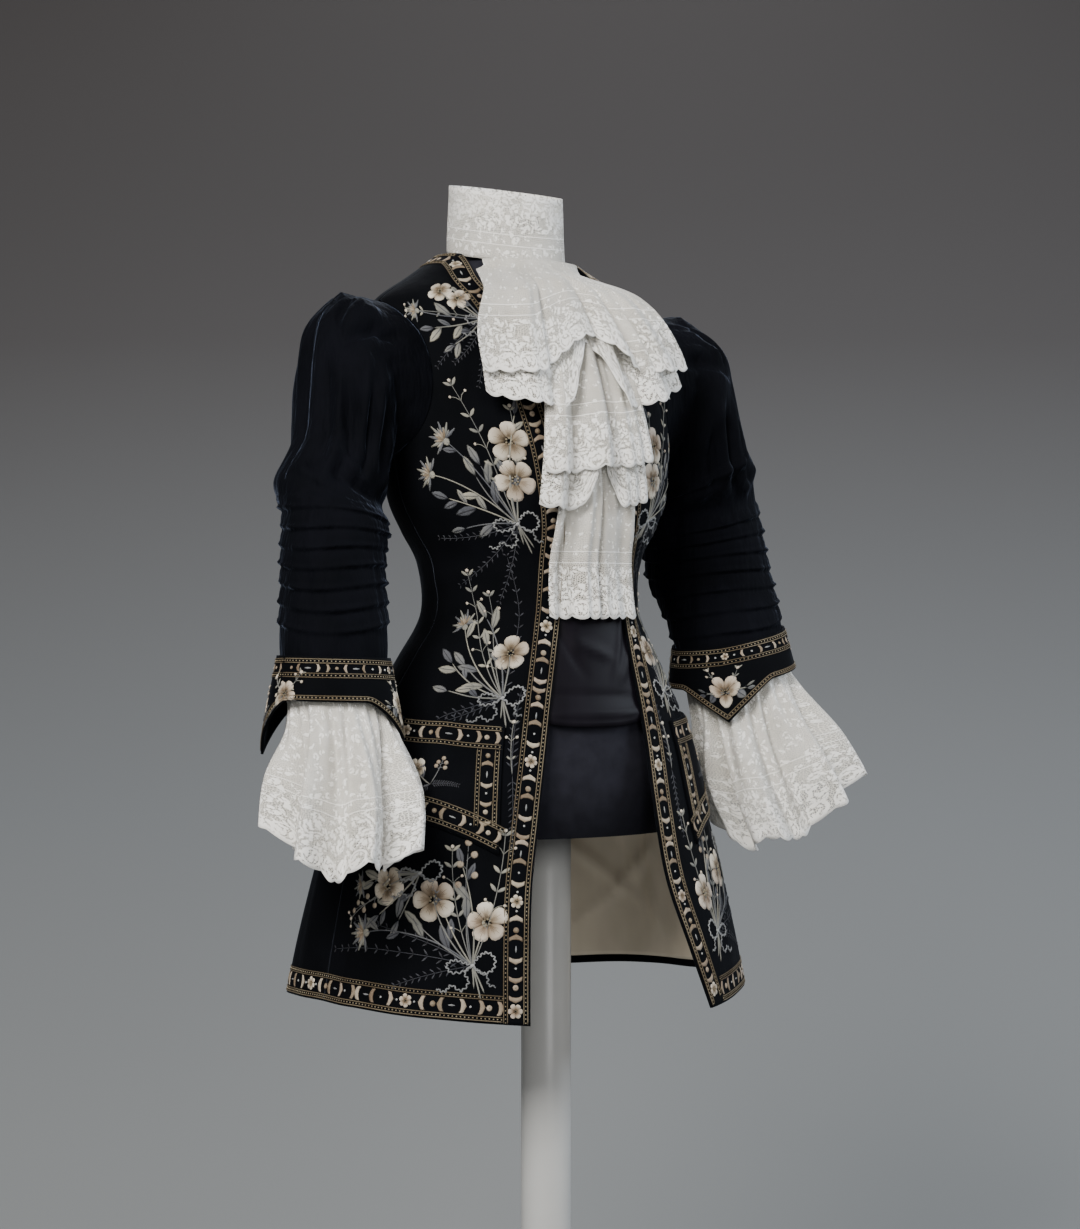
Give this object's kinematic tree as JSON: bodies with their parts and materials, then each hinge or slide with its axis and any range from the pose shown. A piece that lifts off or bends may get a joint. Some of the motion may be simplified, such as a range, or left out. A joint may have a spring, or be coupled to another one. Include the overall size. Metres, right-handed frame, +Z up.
{
  "type": "riding coat on a dress form",
  "caption": "Court-style riding coat of embroidered dark velvet with lace jabot and cuff frills, worn by a limbless dress form on a post with a round foot.",
  "frame": {"origin": "centre of the base's underside, on the floor and on the post's axis", "axes": "+Z up along the post, -Y the way the coat faces, -X the wearer's right"},
  "size_m": [0.7132, 0.423, 1.4319],
  "materials": {
    "velvet": "midnight-blue silk velvet, nearly black, blue sheen at the folds",
    "lining_satin": "taupe silk satin with soft folds",
    "vest_satin": "black satin, soft lustre",
    "lace": "ivory needle and bobbin lace on fine net",
    "embroidery_gold": "dull gilt cord and beads",
    "embroidery_petal": "cream and blush silk floss in satin stitch",
    "embroidery_leaf": "sage and grey-blue silk floss",
    "embroidery_ribbon": "silver-grey silk and purl thread",
    "form_cover": "charcoal cotton cover",
    "post_enamel": "pale grey satin enamel"
  },
  "bodies": {
    "root": {"coat_front_right": "velvet", "coat_front_left": "velvet", "coat_back_right": "velvet", "coat_back_left": "velvet", "sleeve_right": "velvet", "sleeve_left": "velvet", "cuff_right": "velvet", "cuff_left": "velvet", "pocket_flap_right": "velvet", "pocket_flap_left": "velvet", "lining_front_right": "lining_satin", "lining_front_left": "lining_satin", "lining_back_right": "lining_satin", "lining_back_left": "lining_satin", "vest_front": "vest_satin", "lace_collar": "lace", "jabot_tier_1_over": "lace", "jabot_tier_1_under": "lace", "jabot_tier_2_over": "lace", "jabot_tier_2_under": "lace", "jabot_tier_3": "lace", "frill_right": "lace", "frill_left": "lace", "form_torso": "form_cover", "form_post": "post_enamel", "form_base": "post_enamel"}
  },
  "joints": []
}
